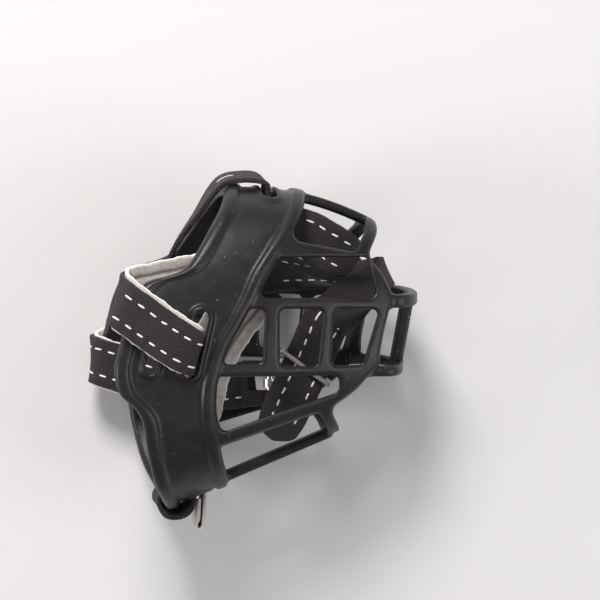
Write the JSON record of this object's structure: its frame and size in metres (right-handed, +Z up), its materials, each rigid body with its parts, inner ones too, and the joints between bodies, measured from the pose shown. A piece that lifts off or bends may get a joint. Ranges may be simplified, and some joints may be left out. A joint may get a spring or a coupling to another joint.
{
  "type": "basket muzzle",
  "caption": "Soft rubber basket muzzle for a dog, with padded neck, throat and forehead straps tucked inside and a small metal buckle.",
  "frame": {"origin": "centre of the floor area the muzzle covers, on the floor", "axes": "+X towards the nose, +Y towards the top of the snout, +Z up from the floor; the muzzle lies on its left side"},
  "size_m": [0.1069, 0.1152, 0.0802],
  "materials": {
    "rubber": "satin",
    "webbing": "matte",
    "lining": "matte",
    "steel": "polished"
  },
  "bodies": {
    "muzzle": {"rear_band": "rubber", "right_cage": "rubber", "left_cage": "rubber", "top_spine": "rubber", "bottom_spine": "rubber", "nose_guard": "rubber", "right_neck_webbing": "webbing", "right_neck_lining": "lining", "left_neck_webbing": "webbing", "left_neck_lining": "lining", "left_neck_end": "webbing", "forehead_strap": "webbing", "throat_webbing": "webbing", "throat_lining": "lining"},
    "buckle": {"buckle_frame": "steel"},
    "prong": {"buckle_prong": "steel"},
    "keeper": {"keeper": "steel"}
  },
  "joints": [
    {"name": "buckle_hinge", "type": "hinge", "parent": "muzzle", "child": "buckle", "pos_m": [0.006, -0.011, 0.0186], "axis": [0, -1, 0], "range_deg": [0, 85]},
    {"name": "prong_hinge", "type": "hinge", "parent": "buckle", "child": "prong", "pos_m": [0.006, -0.011, 0.0186], "axis": [0, -1, 0], "range_deg": [0, 50]},
    {"name": "keeper_slide", "type": "slide", "parent": "muzzle", "child": "keeper", "axis": [-0.4096, -0.8988, -0.1564], "range_m": [-0.006, 0.006]}
  ]
}
